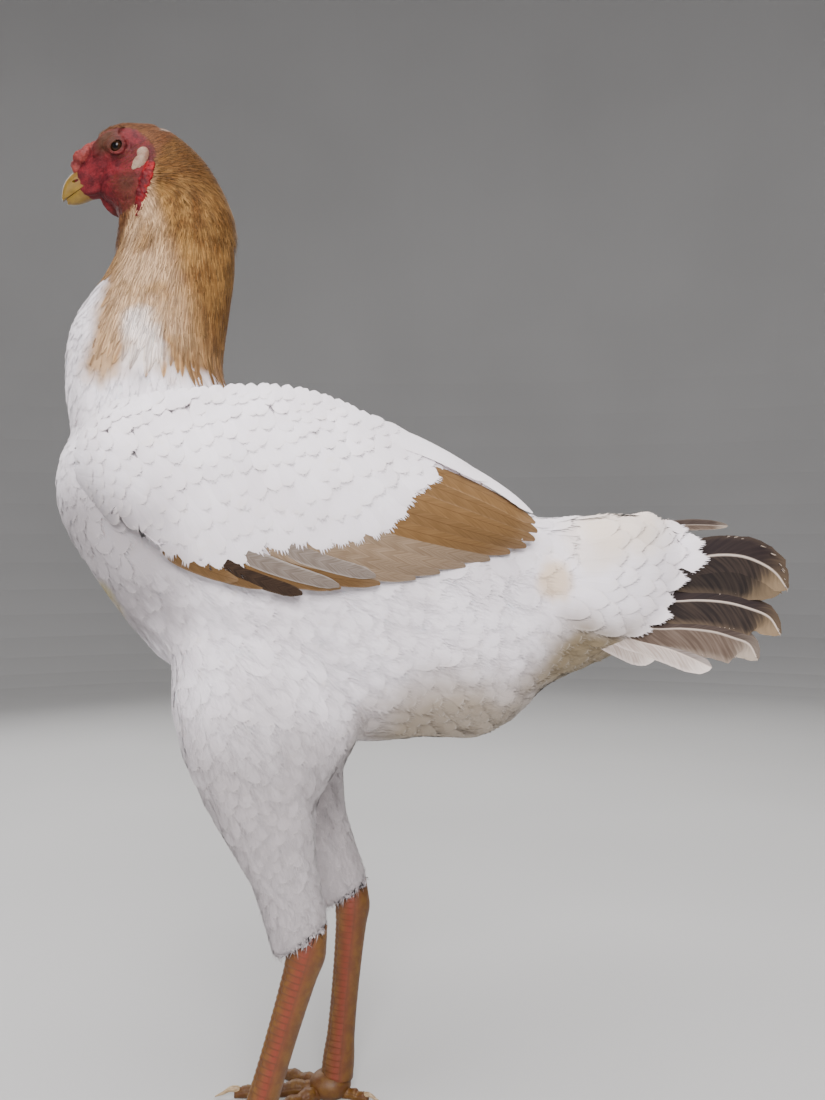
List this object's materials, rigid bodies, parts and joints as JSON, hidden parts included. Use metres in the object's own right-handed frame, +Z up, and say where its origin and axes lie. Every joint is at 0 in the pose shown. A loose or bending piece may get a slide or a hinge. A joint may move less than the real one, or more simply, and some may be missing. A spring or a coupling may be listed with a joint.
{
  "type": "malay chicken",
  "caption": "Tall upright hen of the Malay breed, standing still, with a small walnut comb, bare throat, short tail and long yellow shanks.",
  "frame": {"origin": "on the floor under the middle of the bird's bounding box", "axes": "+Z up, -X the way the hen faces, -Y its left side"},
  "size_m": [0.498, 0.1994, 0.6853],
  "materials": {
    "plumage": "soft white body feathers with a warm shadow",
    "hackle": "cream neck feathers streaked with golden brown",
    "face": "bare red skin, finely pimpled",
    "comb": "bare red skin in small bulbs",
    "lobe": "smooth pale skin",
    "lappet": "bare red skin in a thin fold",
    "bill": "yellow horn",
    "eye": "wet dark brown",
    "wing": "white scalloped coverts over buff flight feathers",
    "tail": "white coverts over grey-brown tail feathers with pale shafts",
    "thigh": "soft white feathers",
    "shank": "yellow scaled skin with a red stripe",
    "foot": "yellow scaled skin",
    "claw": "pale horn"
  },
  "bodies": {
    "root": {"torso": "plumage", "neck": "hackle", "head": "face", "comb": "comb", "bill_upper": "bill", "bill_lower": "bill", "tail": "tail", "eye_left": "eye", "earlobe_left": "lobe", "wattle_left": "lappet", "wing_left": "wing", "thigh_left": "thigh", "shank_left": "shank", "foot_left": "foot", "toe_left_1": "foot", "claw_left_1": "claw", "toe_left_2": "foot", "claw_left_2": "claw", "toe_left_3": "foot", "claw_left_3": "claw", "toe_left_4": "foot", "claw_left_4": "claw", "eye_right": "eye", "earlobe_right": "lobe", "wattle_right": "lappet", "wing_right": "wing", "thigh_right": "thigh", "shank_right": "shank", "foot_right": "foot", "toe_right_1": "foot", "claw_right_1": "claw", "toe_right_2": "foot", "claw_right_2": "claw", "toe_right_3": "foot", "claw_right_3": "claw", "toe_right_4": "foot", "claw_right_4": "claw"}
  },
  "joints": []
}
